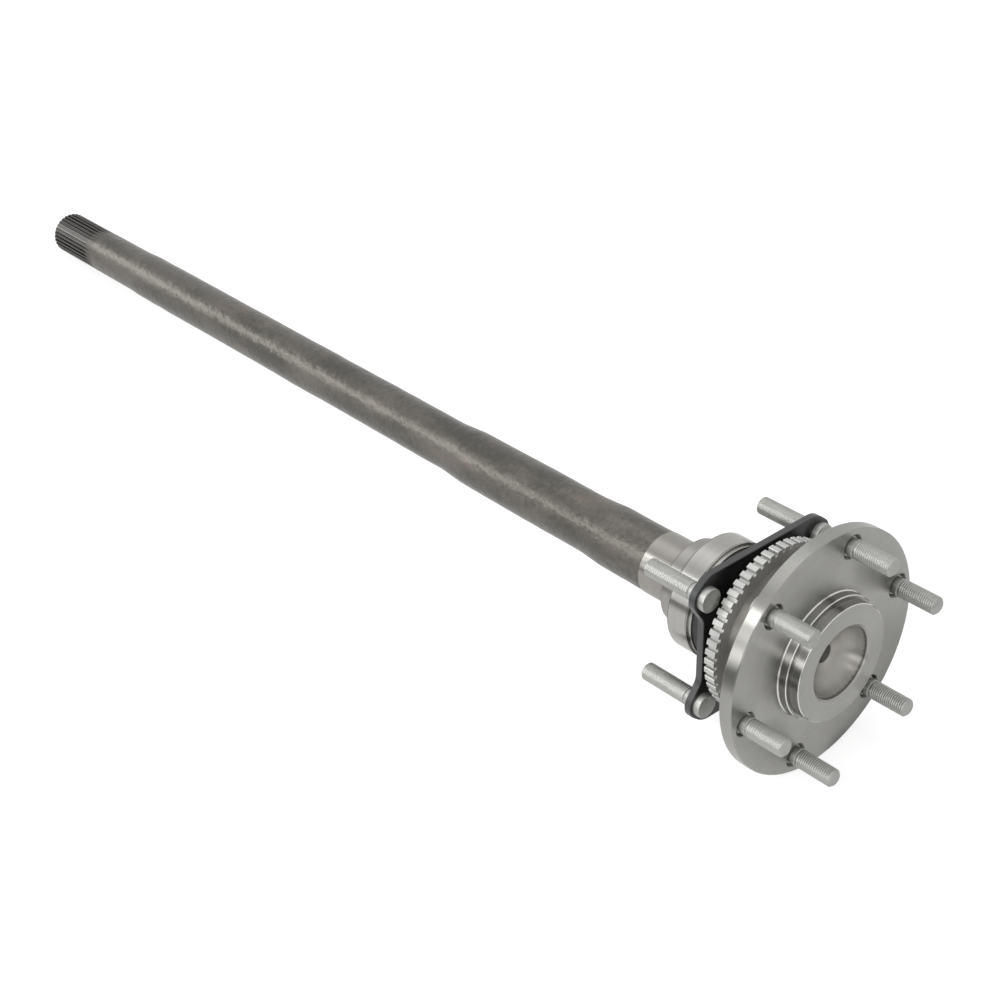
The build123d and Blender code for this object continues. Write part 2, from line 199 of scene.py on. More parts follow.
def clouds_group():
    """Clouds of two sizes in space: the mean of large ones and of finer ones of less weight."""
    group, entry, leave = new_group("clouds", {"Size": 0.02}, ["Clouds"])
    place = add_node(group, "ShaderNodeTexCoord").outputs["Object"]
    scale = work_out(group, "DIVIDE", 1.0, entry.outputs["Size"])
    large = add_node(group, "ShaderNodeTexNoise", {"Vector": place, "Scale": scale, "Detail": 3.0})
    finer = work_out(group, "MULTIPLY", scale, FINER)
    small = add_node(group, "ShaderNodeTexNoise", {"Vector": place, "Scale": finer, "Detail": 2.0})
    both = work_out(group, "MULTIPLY_ADD", small.outputs[0], FINE_WEIGHT, large.outputs[0])
    group.links.new(work_out(group, "DIVIDE", both, 1 + FINE_WEIGHT), leave.inputs["Clouds"])
    return group


AXIS_PLACE = axis_place_group()
TURNED_MARKS = turned_marks_group(AXIS_PLACE)
CLOUDS = clouds_group()
print("node groups", [g.name for g in bpy.data.node_groups])

# %% [markdown]
# ## Finishes
# Every bare metal here is the Principled shader with its metallic value at 1. What tells the
# finishes apart is the base colour, the roughness, and whether the roughness has a direction. A
# turned face is smoother along its rings than across them, so lamps draw out into bands on it.
# The shader takes a tangent that runs round the axis, and a quarter of a turn from it lies the
# rough way.

# %% A finish and its links
QUARTER_TURN = 0.25
NOISE_RANGE = (0.3, 0.7)


class Finish:
    """A material with its shader, the shared groups placed in it, and one bump."""

    def __init__(self, name, metallic=1.0, anisotropy=0.0):
        self.material = bpy.data.materials.new(name)
        self.material.use_nodes = True
        self.tree = self.material.node_tree
        self.shader = self.tree.nodes["Principled BSDF"]
        self.shader.inputs["Metallic"].default_value = metallic
        if anisotropy:
            self.shader.inputs["Anisotropic"].default_value = anisotropy
            self.shader.inputs["Anisotropic Rotation"].default_value = QUARTER_TURN
            tangent = add_node(self.tree, "ShaderNodeTangent", direction_type="RADIAL", axis="X")
            self.link("Tangent", tangent.outputs[0])

    def group(self, shared, **inputs):
        """One of the shared groups, with its values."""
        return add_node(self.tree, "ShaderNodeGroup", inputs, node_tree=shared).outputs

    def place(self):
        """The point's place on its own object."""
        return add_node(self.tree, "ShaderNodeTexCoord").outputs["Object"]

    def link(self, socket, value):
        """Feeds one of the shader's inputs."""
        self.tree.links.new(value, self.shader.inputs[socket])

    def bump(self, height, distance):
        """Raises the surface by height times distance, in metres."""
        made = add_node(self.tree, "ShaderNodeBump", {"Height": height, "Distance": distance})
        self.link("Normal", made.outputs[0])

    def uneven_roughness(self, clouds, middle, less, more):
        """Roughness that follows the clouds, from middle - less to middle + more."""
        low, high = middle - less, middle + more
        self.link("Roughness", between(self.tree, clouds, *NOISE_RANGE, low, high))


# %% [markdown]
# ## Axle shaft
# The forging is one piece of steel, but its surface was left by different tools: the spline
# cutter, the forging die, the grinder and the lathe. Separate materials would need the mesh cut
# apart. One material that looks at the place along the axis and the distance from it keeps the
# solid whole, so that is used. It starts with the zones along the axis. Each has a share, which is
# 0 outside it and 1 inside, and a pair of places such as SPLINE_END is the soft edge between.

# %% Zones along the axle shaft
SPLINE_STEEL = (0.089, 0.086, 0.082)
# Painted light: the floors of the spline's gaps are paler, lifting their shade.
SPLINE_GAP_PAINTED_LIGHT = (0.160, 0.155, 0.147)
GAP_EDGE = (17.15, 16.35)
SPLINE_END = (-804.0, -795.0)
BAR_STEEL = (0.124, 0.117, 0.106)
FORGED_ROUGHNESS = 0.36
ZONES = {
    "ground seat": {"start": -134.4, "soft": 0.2, "steel": (0.300, 0.287, 0.270), "rough": 0.30},
    "hub": {"start": -45.5, "soft": 0.3, "steel": (0.270, 0.259, 0.240), "rough": 0.62},
    "flange": {"start": -9.6, "soft": 0.2, "steel": (0.303, 0.300, 0.284), "rough": 0.29},
}


def zone_layers(tree, along):
    """Share, colour and roughness of each zone, from where it starts to the wheel's end."""
    layers = [(between(tree, along, *SPLINE_END), BAR_STEEL, None)]
    for zone in ZONES.values():
        share = between(tree, along, zone["start"] - zone["soft"], zone["start"] + zone["soft"])
        layers.append((share, zone["steel"], zone["rough"]))
    return layers


print("zones from the bar to the wheel", list(ZONES))

# %% [markdown]
# The wheel's end has more on it. A punch sank the recess, which is matt and paler. A dark line of
# painted shade runs round its mouth. Drills left the middle hole and the countersinks of the
# studs, and both get painted shade. The small edges of the pilots get a pale painted highlight.

# %% Recess, holes and edges of the axle shaft
RECESS_STEEL = (0.438, 0.424, 0.396)
RECESS_ROUGHNESS = 0.48
RECESS_EDGE = (25.8, 24.6)
WHEEL_END = (-12.0, -11.0)
# Painted shade: a dark line just inside the recess's mouth.
MOUTH_PAINTED_SHADE = (0.120, 0.115, 0.105)
MOUTH_RADIUS = 24.3
MOUTH_HALF = (0.45, 0.1)
# Painted shade in the countersinks round the studs.
SINK_PAINTED_SHADE = (0.100, 0.098, 0.092)
SINK_REACH = 9.0
SINK_TOP = (-0.1, -0.7)
SINK_FLOOR = (-2.6, -2.1)
STUD_CIRCLE = 69.85
# Painted shade in the middle hole.
DRILLED_PAINTED_SHADE = (0.112, 0.108, 0.100)
DRILLING_EDGE = (6.6, 6.0)
# Painted highlight: a pale strip on each small edge of the pilots.
EDGE_PAINTED_HIGHLIGHT = (0.680, 0.672, 0.655)
EDGE_HALF = 0.17
# For each edge, x + radius, which is the same all over it, then its middle x and half its width.
BRIGHT_EDGES = [(42.2, 0.45, 0.25), (47.0, 5.9, 0.2), (47.5, 8.3, 0.2), (52.6, 13.6, 0.2)]


def recess_shares(tree, along, radius):
    """1 in the recess, and 1 on the painted shade at its mouth. Both keep to the wheel's end."""
    inside = between(tree, radius, *RECESS_EDGE)
    front = between(tree, along, *WHEEL_END)
    off_mouth = work_out(tree, "ABSOLUTE", work_out(tree, "SUBTRACT", radius, MOUTH_RADIUS))
    on_mouth = between(tree, off_mouth, *MOUTH_HALF)
    return (work_out(tree, "MULTIPLY", share, front) for share in (inside, on_mouth))


def sink_share(tree, along, radius):
    """1 in the countersinks: near the studs' circle, just under the face and over their floor."""
    share = work_out(tree, "COMPARE", radius, STUD_CIRCLE, SINK_REACH)
    for edge in (SINK_TOP, SINK_FLOOR):
        share = work_out(tree, "MULTIPLY", share, between(tree, along, *edge))
    return share


def edge_highlight_share(tree, along, radius):
    """1 on a narrow strip at each small edge, where a highlight is painted."""
    total = work_out(tree, "ADD", along, radius)
    marks = 0.0
    for sum_there, middle, half in BRIGHT_EDGES:
        on_slope = work_out(tree, "COMPARE", total, sum_there, EDGE_HALF)
        near = work_out(tree, "COMPARE", along, middle, half)
        marks = work_out(tree, "MULTIPLY_ADD", on_slope, near, marks)
    return marks


print(len(BRIGHT_EDGES), "bright edges on the pilots")

# %% [markdown]
# The finish lays these layers one over another. Faint clouds and rings then change the tone by a
# few percent, and fine rings go into the bump, apart from the recess, where pits take their place.

# %% Finish of the axle shaft
SHAFT_ANISOTROPY = 0.92
CLOUD_MIDDLE = (0.35, 0.65)
CLOUD_TONE = (0.96, 1.04)
RING_TONE = (0.985, 1.015)
ROUGHNESS_DRIFT = (-0.02, 0.02)
PIT_SIZE = 0.0012
RING_DEPTH = 0.0000015


def shaft_finish():
    """Layers of colour and roughness, with turned rings over all but the recess."""
    finish = Finish("forged_and_turned_steel", anisotropy=SHAFT_ANISOTROPY)
    tree = finish.tree
    where = finish.group(AXIS_PLACE)
    along, radius = where["Along"], where["Radius"]
    rings = finish.group(TURNED_MARKS, Pitch=1.4, Band=6.0)
    clouds = finish.group(CLOUDS, Size=0.022)["Clouds"]
    recess, mouth = recess_shares(tree, along, radius)
    layers = zone_layers(tree, along) + [
        (recess, RECESS_STEEL, RECESS_ROUGHNESS),
        # Painted shade round the recess's mouth.
        (mouth, MOUTH_PAINTED_SHADE, None),
        # Painted shade in the countersinks.
        (sink_share(tree, along, radius), SINK_PAINTED_SHADE, None),
        # Painted shade in the middle hole.
        (between(tree, radius, *DRILLING_EDGE), DRILLED_PAINTED_SHADE, None),
        # Painted highlight on the pilots' small edges.
        (edge_highlight_share(tree, along, radius), EDGE_PAINTED_HIGHLIGHT, None),
    ]
    # Painted light lifts the shade in the spline's gaps.
    colour = blend_colour(tree, between(tree, radius, *GAP_EDGE), SPLINE_STEEL, SPLINE_GAP_PAINTED_LIGHT)
    rough = FORGED_ROUGHNESS
    for share, steel, roughness in layers:
        colour = blend_colour(tree, share, colour, steel)
        if roughness:
            rough = blend_values(tree, share, rough, roughness)
    cloud_tone = between(tree, clouds, *CLOUD_MIDDLE, *CLOUD_TONE)
    ring_tone = between(tree, rings["Broad"], *NOISE_RANGE, *RING_TONE)
    tone = work_out(tree, "MULTIPLY", cloud_tone, ring_tone)
    toned = add_node(tree, "ShaderNodeVectorMath", {0: colour, 1: tone}, operation="MULTIPLY")
    finish.link("Base Color", toned.outputs[0])
    drift = between(tree, clouds, *NOISE_RANGE, *ROUGHNESS_DRIFT)
    finish.link("Roughness", work_out(tree, "ADD", rough, drift))
    pits = noise(tree, finish.place(), PIT_SIZE, detail=3.0)
    finish.bump(blend_values(tree, recess, rings["Fine"], pits), RING_DEPTH)
    return finish.material


SHAFT_MATERIAL = shaft_finish()
print("material", SHAFT_MATERIAL.name)

# %% [markdown]
# ## Scale on the forged bar
# The die leaves a bar dark grey-brown, with scale in soft patches that are longer along the bar
# than round it, pinkish where it is thin, and with small dark pits. The patches come from
# noise on stretched coordinates. The metal under the scale still shines, so the finish stays
# metallic, with a broad highlight.

# %% Forging scale
SCALE_DARK = (0.096, 0.091, 0.082)
SCALE_PALE = (0.152, 0.143, 0.130)
SCALE_WARM = (0.178, 0.145, 0.128)
SCALE_PIT = (0.040, 0.036, 0.032)
STRETCH = (0.34, 1.0, 1.0)
PATCH_SIZE = 0.024
SPECK_SIZE = 0.0035
WARM_SIZE = 0.012
SCALE_PIT_SIZE = 0.0016
DENT_SIZE = 0.007
PATCH_WEIGHT = 0.8
SPECK_WEIGHT = 0.35
DENT_WEIGHT = 2.4
PALE_RANGE = (0.42, 0.74)
WARM_RANGE = (0.60, 0.76)
MOST_WARM = 0.5
PIT_RANGE = (0.72, 0.80)
SCALE_ROUGHNESS = (0.30, 0.39)
SCALE_RELIEF = 0.0002


def scale_finish():
    """Dark and pale scale by stretched clouds, with warm spots and pits on top."""
    finish = Finish("forging_scale")
    tree = finish.tree
    inputs = {"Vector": finish.place(), "Scale": STRETCH}
    stretched = add_node(tree, "ShaderNodeMapping", inputs).outputs[0]
    patches = noise(tree, stretched, PATCH_SIZE, detail=4.0, roughness=0.55)
    specks = noise(tree, finish.place(), SPECK_SIZE, detail=3.0, roughness=0.6)
    weighted = work_out(tree, "MULTIPLY", patches, PATCH_WEIGHT)
    both = work_out(tree, "MULTIPLY_ADD", specks, SPECK_WEIGHT, weighted)
    colour = blend_colour(tree, between(tree, both, *PALE_RANGE), SCALE_DARK, SCALE_PALE)
    spots = noise(tree, stretched, WARM_SIZE)
    warm = between(tree, spots, *WARM_RANGE, 0.0, MOST_WARM)
    colour = blend_colour(tree, warm, colour, SCALE_WARM)
    sunk = between(tree, noise(tree, finish.place(), SCALE_PIT_SIZE, detail=1.0), *PIT_RANGE)
    finish.link("Base Color", blend_colour(tree, sunk, colour, SCALE_PIT))
    finish.link("Roughness", between(tree, patches, *NOISE_RANGE, *SCALE_ROUGHNESS))
    dents = noise(tree, finish.place(), DENT_SIZE)
    relief = work_out(tree, "SUBTRACT", specks, sunk)
    finish.bump(work_out(tree, "MULTIPLY_ADD", dents, DENT_WEIGHT, relief), SCALE_RELIEF)
    return finish.material


SCALE_MATERIAL = scale_finish()
print("material", SCALE_MATERIAL.name)

# %% [markdown]
# ## Turned, ground and pressed steel
# The bearing ring, the collar and the hidden shields and cage are clean steel. They differ in
# tone and in how sharp their rings are, so one function makes them all from a few numbers. The
# finish draws a dark line where two pieces meet and at the outer ring's step.

# %% Round steel pieces
CLEAN_BAND = 4.0
CLEAN_CLOUD = 0.03
BAND_SHADE = 0.96
SEAM_SHADE = 0.3
SEAM_HALF = 0.22
OUTER_RING_SEAMS = (-90.9, -76.2)
COLLAR_SEAMS = (-107.0, -92.6)


def round_steel(name, colour, roughness, anisotropy, pitch=1.2, depth=RING_DEPTH, seams=()):
    """Clean steel with fine rings about the axis, faint clouds, and dark lines at its seams."""
    finish = Finish(name, anisotropy=anisotropy)
    tree = finish.tree
    rings = finish.group(TURNED_MARKS, Pitch=pitch, Band=CLEAN_BAND)
    clouds = finish.group(CLOUDS, Size=CLEAN_CLOUD)["Clouds"]
    tone = between(tree, rings["Broad"], *NOISE_RANGE)
    shown = blend_colour(tree, tone, shade(colour, BAND_SHADE), colour)
    if seams:
        along = finish.group(AXIS_PLACE)["Along"]
        marks = 0.0
        for seam in seams:
            marks = work_out(tree, "ADD", work_out(tree, "COMPARE", along, seam, SEAM_HALF), marks)
        shown = blend_colour(tree, marks, shown, shade(colour, SEAM_SHADE))
    finish.link("Base Color", shown)
    finish.uneven_roughness(clouds, roughness, less=0.03, more=0.03)
    finish.bump(rings["Fine"], depth)
    return finish.material


TURNED_MATERIAL = round_steel(
    "turned_steel", (0.375, 0.367, 0.348), roughness=0.25, anisotropy=0.9, seams=OUTER_RING_SEAMS
)
COLLAR_MATERIAL = round_steel(
    "collar_steel", (0.315, 0.304, 0.292), roughness=0.30, anisotropy=0.9, seams=COLLAR_SEAMS
)
BEARING_MATERIAL = round_steel(
    "bearing_steel", (0.50, 0.50, 0.49), roughness=0.16, anisotropy=0.3, pitch=0.25, depth=0.000001
)
SHIELD_MATERIAL = round_steel("shield_steel", (0.33, 0.33, 0.325), roughness=0.33, anisotropy=0.4)
CAGE_MATERIAL = round_steel("cage_steel", (0.36, 0.355, 0.34), roughness=0.38, anisotropy=0.0)
clean_steels = [TURNED_MATERIAL, COLLAR_MATERIAL, BEARING_MATERIAL, SHIELD_MATERIAL, CAGE_MATERIAL]
print("materials", [material.name for material in clean_steels])

# %% [markdown]
# ## Zinc plating
# Studs, bolts and the toothed ring are zinc plated: pale, slightly green, and matt, because the
# zinc grows in fine crystals. They scatter part of the light as paint does, so the metallic value
# is 0.7 here. Small-scale noise in the bump gives the crystals, and larger clouds in the colour
# give the uneven bath.

# %% Zinc
ZINC_METALLIC = 0.7
ZINC_CLOUD = 0.012
CRYSTAL_SIZE = 0.0005
CRYSTAL_WEIGHT = 0.4
ZINC_TONE = (0.5, 0.9)
BATH_SHADE = 0.86


def zinc_finish(name, colour, roughness, grain):
    """Matt plated metal: crystals in the bump, clouds in colour and roughness."""
    finish = Finish(name, metallic=ZINC_METALLIC)
    tree = finish.tree
    clouds = finish.group(CLOUDS, Size=ZINC_CLOUD)["Clouds"]
    crystals = noise(tree, finish.place(), CRYSTAL_SIZE, roughness=0.7)
    both = work_out(tree, "MULTIPLY_ADD", crystals, CRYSTAL_WEIGHT, clouds)
    tone = between(tree, both, *ZINC_TONE)
    finish.link("Base Color", blend_colour(tree, tone, shade(colour, BATH_SHADE), colour))
    finish.uneven_roughness(clouds, roughness, less=0.05, more=0.05)
    finish.bump(crystals, grain)
    return finish.material


FASTENER_MATERIAL = zinc_finish(
    "zinc_fasteners", (0.385, 0.389, 0.369), roughness=0.42, grain=0.000004
)
RING_MATERIAL = zinc_finish("zinc_ring", (0.505, 0.505, 0.49), roughness=0.40, grain=0.000006)
print("materials", FASTENER_MATERIAL.name, RING_MATERIAL.name)

# %% [markdown]
# ## Black plate, coated case and rubber
# The retainer plate is satin black over blasted steel, so its gloss breaks up in a fine orange
# peel. The seal's case has a rubber coat and its lip is bare rubber, both duller.

# %% Black finishes
BLACK_CLOUD = 0.03
DUST_RANGE = (0.42, 0.68)
DUST_SHADE = 1.7
DUST_LIFT = 0.002
SIDE_GREY = (0.038, 0.040, 0.039)
SIDE_RANGE = (0.9, 0.6)
PEEL_DEPTH = 0.00002


def black_finish(name, colour, roughness, peel_size, pale_sides=False):
    """Dark coating: fine peel in the bump, roughness that drifts, and a little dust.

    Pale sides are those that face away from the axis, and the finish makes them dark grey.
    """
    finish = Finish(name, metallic=0.0)
    tree = finish.tree
    clouds = finish.group(CLOUDS, Size=BLACK_CLOUD)["Clouds"]
    dust = between(tree, clouds, *DUST_RANGE)
    shown = blend_colour(tree, dust, colour, shade(colour, DUST_SHADE, DUST_LIFT))
    if pale_sides:
        normal = add_node(tree, "ShaderNodeTexCoord").outputs["Normal"]
        lengthwise = add_node(tree, "ShaderNodeSeparateXYZ", {0: normal}).outputs[0]
        side = between(tree, work_out(tree, "ABSOLUTE", lengthwise), *SIDE_RANGE)
        shown = blend_colour(tree, side, shown, SIDE_GREY)
    finish.link("Base Color", shown)
    finish.uneven_roughness(clouds, roughness, less=0.05, more=0.06)
    finish.bump(noise(tree, finish.place(), peel_size), PEEL_DEPTH)
    return finish.material


PLATE_MATERIAL = black_finish(
    "satin_black", (0.006, 0.0062, 0.006), roughness=0.34, peel_size=0.0011, pale_sides=True
)
CASE_MATERIAL = black_finish("rubber_coat", (0.012, 0.012, 0.012), roughness=0.5, peel_size=0.0006)
RUBBER_MATERIAL = black_finish(
    "seal_rubber", (0.011, 0.011, 0.011), roughness=0.62, peel_size=0.0004
)
print("materials", PLATE_MATERIAL.name, CASE_MATERIAL.name, RUBBER_MATERIAL.name)

# %% [markdown]
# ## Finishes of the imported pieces
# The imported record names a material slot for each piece, so one table from slot to material
# dresses them all. The collar and the bearing's outer ring share a slot, but the photograph shows
# the collar darker, so it gets a material of its own afterwards.

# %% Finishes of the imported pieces
SLOT_MATERIALS = {
    "forged_steel": SHAFT_MATERIAL,
    "turned_steel": TURNED_MATERIAL,
    "bearing_steel": BEARING_MATERIAL,
    "shield_steel": SHIELD_MATERIAL,
    "cage_steel": CAGE_MATERIAL,
    "plated_fasteners": FASTENER_MATERIAL,
    "plated_ring": RING_MATERIAL,
    "black_plate": PLATE_MATERIAL,
    "coated_case": CASE_MATERIAL,
    "seal_rubber": RUBBER_MATERIAL,
}
for part in frame["record"]["subparts"]:
    nodes[part["node"]].material_slots[0].material = SLOT_MATERIALS[part["material_slot"]]
nodes["retaining_collar"].material_slots[0].material = COLLAR_MATERIAL

# %% [markdown]
# ## Surfaces about an axis
# Studs, bolts and the forged bar are all round, so each is a tube of rings along X whose radius
# changes with the place and the angle. One function makes the rings into a closed shell. A fan
# to a point closes each end, so that no seam or hole is left.


# %% Tube of rings
def closed_tube(along, radius, centre=(0.0, 0.0)):
    """Points (x, cy + r cos a, cz + r sin a) for each place x and angle a, and their faces.

    Faces of four points join each row to the next, and fans of three points close the ends.
    """
    rows, columns = radius.shape
    angle = np.arange(columns) * 2 * np.pi / columns
    y = centre[0] + radius * np.cos(angle)
    z = centre[1] + radius * np.sin(angle)
    x = np.broadcast_to(along[:, None], radius.shape)
    ends = [[along[0], *centre], [along[-1], *centre]]
    points = np.vstack([np.stack([x, y, z], axis=-1).reshape(-1, 3), ends])
    here = np.arange(columns)
    after = np.roll(here, -1)
    row = (np.arange(rows - 1) * columns)[:, None]
    sides = np.stack([row + here, row + after, row + columns + after, row + columns + here], -1)
    last = (rows - 1) * columns
    first_pole = np.full(columns, rows * columns)
    first_fan = np.stack([first_pole, after, here], -1)
    last_fan = np.stack([first_pole + 1, last + here, last + after], -1)
    return points, sides.reshape(-1, 4), np.vstack([first_fan, last_fan])


def add_piece(name, shells, material, body, sharp):
    """One smooth mesh of several shells in millimetres, sharp where faces meet at more degrees."""
    faces, used = [], 0
    for points, sides, fans in shells:
        faces += (sides + used).tolist() + (fans + used).tolist()
        used += len(points)
    mesh = bpy.data.meshes.new(name)
    all_points = np.vstack([points for points, _, _ in shells])
    mesh.from_pydata((all_points * MM).tolist(), [], faces)
    mesh.polygons.foreach_set("use_smooth", np.ones(len(mesh.polygons), bool))
    mesh.set_sharp_from_angle(angle=math.radians(sharp))
    mesh.materials.append(material)
    piece = bpy.data.objects.new(name, mesh)
    bpy.context.scene.collection.objects.link(piece)
    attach(piece, body)
    print(name, len(faces), "faces")
    return piece


# %% [markdown]
# ## Threads
# The studs and bolts are M12 with a pitch of 1.5 mm. A thread is one groove that climbs by a
# pitch each turn, so its depth at a point depends on x / pitch less the share of a turn. It could
# be cut by a Screw modifier, but a height over place and angle also fades the thread out
# at its neck and lets the chamfer at the tip cut across it.

# %% Thread surface
PITCH = 1.5
THREAD_RADIUS = 6.0
THREAD_DEPTH = 0.36
ROWS_PER_PITCH = 10
CORNER_CLEARANCE = 0.25
FASTENER_COLUMNS = 48


def profile_radius(profile, along):
    """Radius at each place on the straight lines between a profile's (x, r) corners."""
    corners = np.array(profile)
    return np.interp(along, corners[:, 0], corners[:, 1])


def threaded_rod(profile, thread_low, thread_high, centre):
    """A turned profile of (x, r) corners, with a thread between two places.

    The groove is 0 on the crest and 1 at the root: half of 1 - cos of x / pitch - turn, counted
    in whole turns. It fades in over one pitch at each end, and the radius never leaves the
    profile, so a chamfer cuts across the thread. A row that falls on a corner is left out,
    because two rows in one place would give faces of no width.
    """
    corners = np.array(profile)
    step = PITCH / ROWS_PER_PITCH
    dense = np.arange(thread_low, thread_high, step)
    dense = dense[(dense > corners[0, 0]) & (dense < corners[-1, 0])]
    to_corner = np.abs(dense[:, None] - corners[:, 0]).min(axis=1)
    dense = dense[to_corner > step * CORNER_CLEARANCE]
    filled = np.stack([dense, profile_radius(profile, dense)], axis=-1)
    rows = np.vstack([corners, filled])
    rows = rows[np.argsort(rows[:, 0], kind="stable")]
    along, limit = rows[:, :1], rows[:, 1:]
    turn = np.arange(FASTENER_COLUMNS) / FASTENER_COLUMNS
    groove = (1 - np.cos(2 * np.pi * (along / PITCH - turn))) / 2
    fade = np.clip(np.minimum(along - thread_low, thread_high - along) / PITCH, 0, 1)
    cut = THREAD_RADIUS - THREAD_DEPTH * groove * fade
    radius = np.where(fade > 0, np.minimum(limit, cut), limit)
    return closed_tube(along[:, 0], radius, centre)


print("thread of", PITCH, "mm pitch on", 2 * THREAD_RADIUS, "mm")

# %% [markdown]
# ## Wheel studs and retainer bolts
# Each stud is pressed in from behind the flange: a flat head, a shank in its hole, a bright neck,
# a run-out groove and then the thread. The bolts are pressed through the plate the other way
# round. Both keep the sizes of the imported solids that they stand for, and only gain threads,
# run-out grooves and softer edges.

# %% Studs and bolts
STUD_TURN = 14.0
STUD_COUNT = 6
STUD_THREAD = (4.6, 33.0)
STUD_PROFILE = [
    (-12.4, 8.1), (-12.25, 8.6), (-11.85, 9.05), (-11.3, 9.2), (-9.4, 9.2), (-9.4, 6.5),
    (-2.0, 6.5), (-2.0, 5.5), (-0.5, 5.5), (0.0, 6.0), (3.0, 6.0), (3.45, 5.55), (4.4, 5.55),
    (4.8, 6.0), (29.5, 6.0), (30.95, 4.55), (31.2, 4.1), (31.2, 3.9),
]
BOLT_SIDE = 50.6
BOLT_RISE = 39.1
BOLT_THREAD = (-98.6, -60.6)
BOLT_PROFILE = [
    (-96.8, 4.4), (-96.5, 5.0), (-95.5, 6.0), (-60.8, 6.0), (-60.4, 5.55), (-59.5, 5.55),
    (-59.1, 6.0), (-55.2, 6.0), (-55.2, 6.5), (-50.2, 6.5),
    (-50.2, 8.0), (-46.4, 8.0), (-45.9, 7.85), (-45.55, 7.5), (-45.5, 7.1),
]
FASTENER_SHARP = 40

stud_angles = np.radians(STUD_TURN + np.arange(STUD_COUNT) * 360 / STUD_COUNT)
stud_centres = STUD_CIRCLE * np.stack([np.cos(stud_angles), np.sin(stud_angles)], axis=-1)
studs = add_piece(
    "threaded_wheel_studs",
    [threaded_rod(STUD_PROFILE, *STUD_THREAD, centre) for centre in stud_centres],
    FASTENER_MATERIAL, "shaft", FASTENER_SHARP,
)
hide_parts("wheel_studs")
bolt_centres = [(y, z) for y in (-BOLT_SIDE, BOLT_SIDE) for z in (-BOLT_RISE, BOLT_RISE)]
bolts = add_piece(
    "threaded_retainer_bolts",
    [threaded_rod(BOLT_PROFILE, *BOLT_THREAD, centre) for centre in bolt_centres],
    FASTENER_MATERIAL, "retainer", FASTENER_SHARP,
)
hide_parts("retainer_bolts")

# %% [markdown]
# ## Forged bar
# The bar was drawn out under a hammer, so it isn't quite round: it has long shallow flats, low
# lumps, and a shoulder that comes earlier on one side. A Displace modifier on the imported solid
# would move its ground seats too. A thin skin over the bar alone, worked out as a radius for each
# place and angle, leaves the seats as they are.

# %% Flats and lumps of the forged bar
BAR_PROFILE = [
    (-790.5, 17.1), (-737.0, 17.1), (-723.0, 17.85), (-336.0, 17.85), (-313.0, 19.6),
    (-194.0, 19.6), (-175.0, 21.1), (-134.6, 21.1),
]
BAR_START, BAR_END = BAR_PROFILE[0][0], BAR_PROFILE[-1][0]
# Number of waves, shortest and longest length, most sides round the bar, and height.
FLATS = (26, 60, 260, 3, 0.10)
LUMPS = (60, 14, 50, 5, 0.045)
SEED = 7
rng = np.random.default_rng(SEED)


def waves(along, turn, count, shortest, longest, most_sides, height):
    """Sum of cosines of x / length and whole multiples of the angle, each with its own start."""
    total = np.zeros((along.size, turn.size))
    for _ in range(count):
        length = np.exp(rng.uniform(np.log(shortest), np.log(longest)))
        sides = rng.integers(-most_sides, most_sides + 1)
        start = rng.uniform(0, 2 * np.pi)
        total += np.cos(2 * np.pi * along[:, None] / length + sides * turn + start)
    return total * height / math.sqrt(count / 2)


print("bar skin from", BAR_START, "to", BAR_END)

# %% [markdown]
# The flats and lumps fade out at both ends of the skin, and are lower near the spline, where the
# photograph shows a truer bar. The skin's ends are tucked under the solid's surface, so that no
# rim of it shows.

# %% Skin of the forged bar
# The shoulders come this much earlier all round, and then by these cosines of the angle, each
# with its number of sides, its reach and its start.
SHIFT = 1.0
SHIFT_WAVES = [(1, 2.5, -0.9), (2, 1.5, 0.4)]
SKIN_RISE = 0.16
LOWEST, HIGHEST = -0.09, 0.35
SMOOTH_TAIL = -740.0
TAIL_FADE = 30.0
TAIL_SHARE = 0.15
END_FADE = 6.0
BAR_ROWS = 720
BAR_COLUMNS = 96
SOFT_ROWS = 9
TUCK = 1.5
TUCK_OUT = (0.4, 0.3)
SKIN_SHARP = 60


def bar_radius(along, turn):
    """Radius of the bar: its profile, shifted along by the angle, plus long and short waves."""
    shift = SHIFT
    for sides, reach, start in SHIFT_WAVES:
        shift = shift + reach * np.cos(sides * turn + start)
    places = np.minimum(along[:, None] + shift, BAR_END)
    solid = profile_radius(BAR_PROFILE, along)[:, None]
    plain = np.maximum(profile_radius(BAR_PROFILE, places), solid)
    uneven = waves(along, turn, *FLATS) + waves(along, turn, *LUMPS)
    rough = np.clip((along - SMOOTH_TAIL) / TAIL_FADE, TAIL_SHARE, 1)[:, None]
    ends = np.clip(np.minimum(along - BAR_START, BAR_END - along) / END_FADE, 0, 1)[:, None]
    return plain + SKIN_RISE + np.clip(uneven * rough * ends, LOWEST, HIGHEST)


def soften(values, reach):
    """Mean over neighbours along the first axis, which rounds the profile's corners."""
    kernel = np.hanning(reach + 2)[1:-1]
    padded = np.pad(values, ((reach // 2, reach // 2), (0, 0)), mode="edge")
    return np.apply_along_axis(np.convolve, 0, padded, kernel / kernel.sum(), mode="valid")


bar_along = np.linspace(BAR_START, BAR_END, BAR_ROWS)
bar_turn = np.arange(BAR_COLUMNS) * 2 * np.pi / BAR_COLUMNS
bar_rings = soften(bar_radius(bar_along, bar_turn), SOFT_ROWS)
tucked_along = [[BAR_START - TUCK_OUT[0]], bar_along, [BAR_END + TUCK_OUT[1]]]
tucked_rings = [bar_rings[:1] - TUCK, bar_rings, bar_rings[-1:] - TUCK]
add_piece(
    "forged_bar_skin", [closed_tube(np.concatenate(tucked_along), np.vstack(tucked_rings))],
    SCALE_MATERIAL, "shaft", SKIN_SHARP,
)

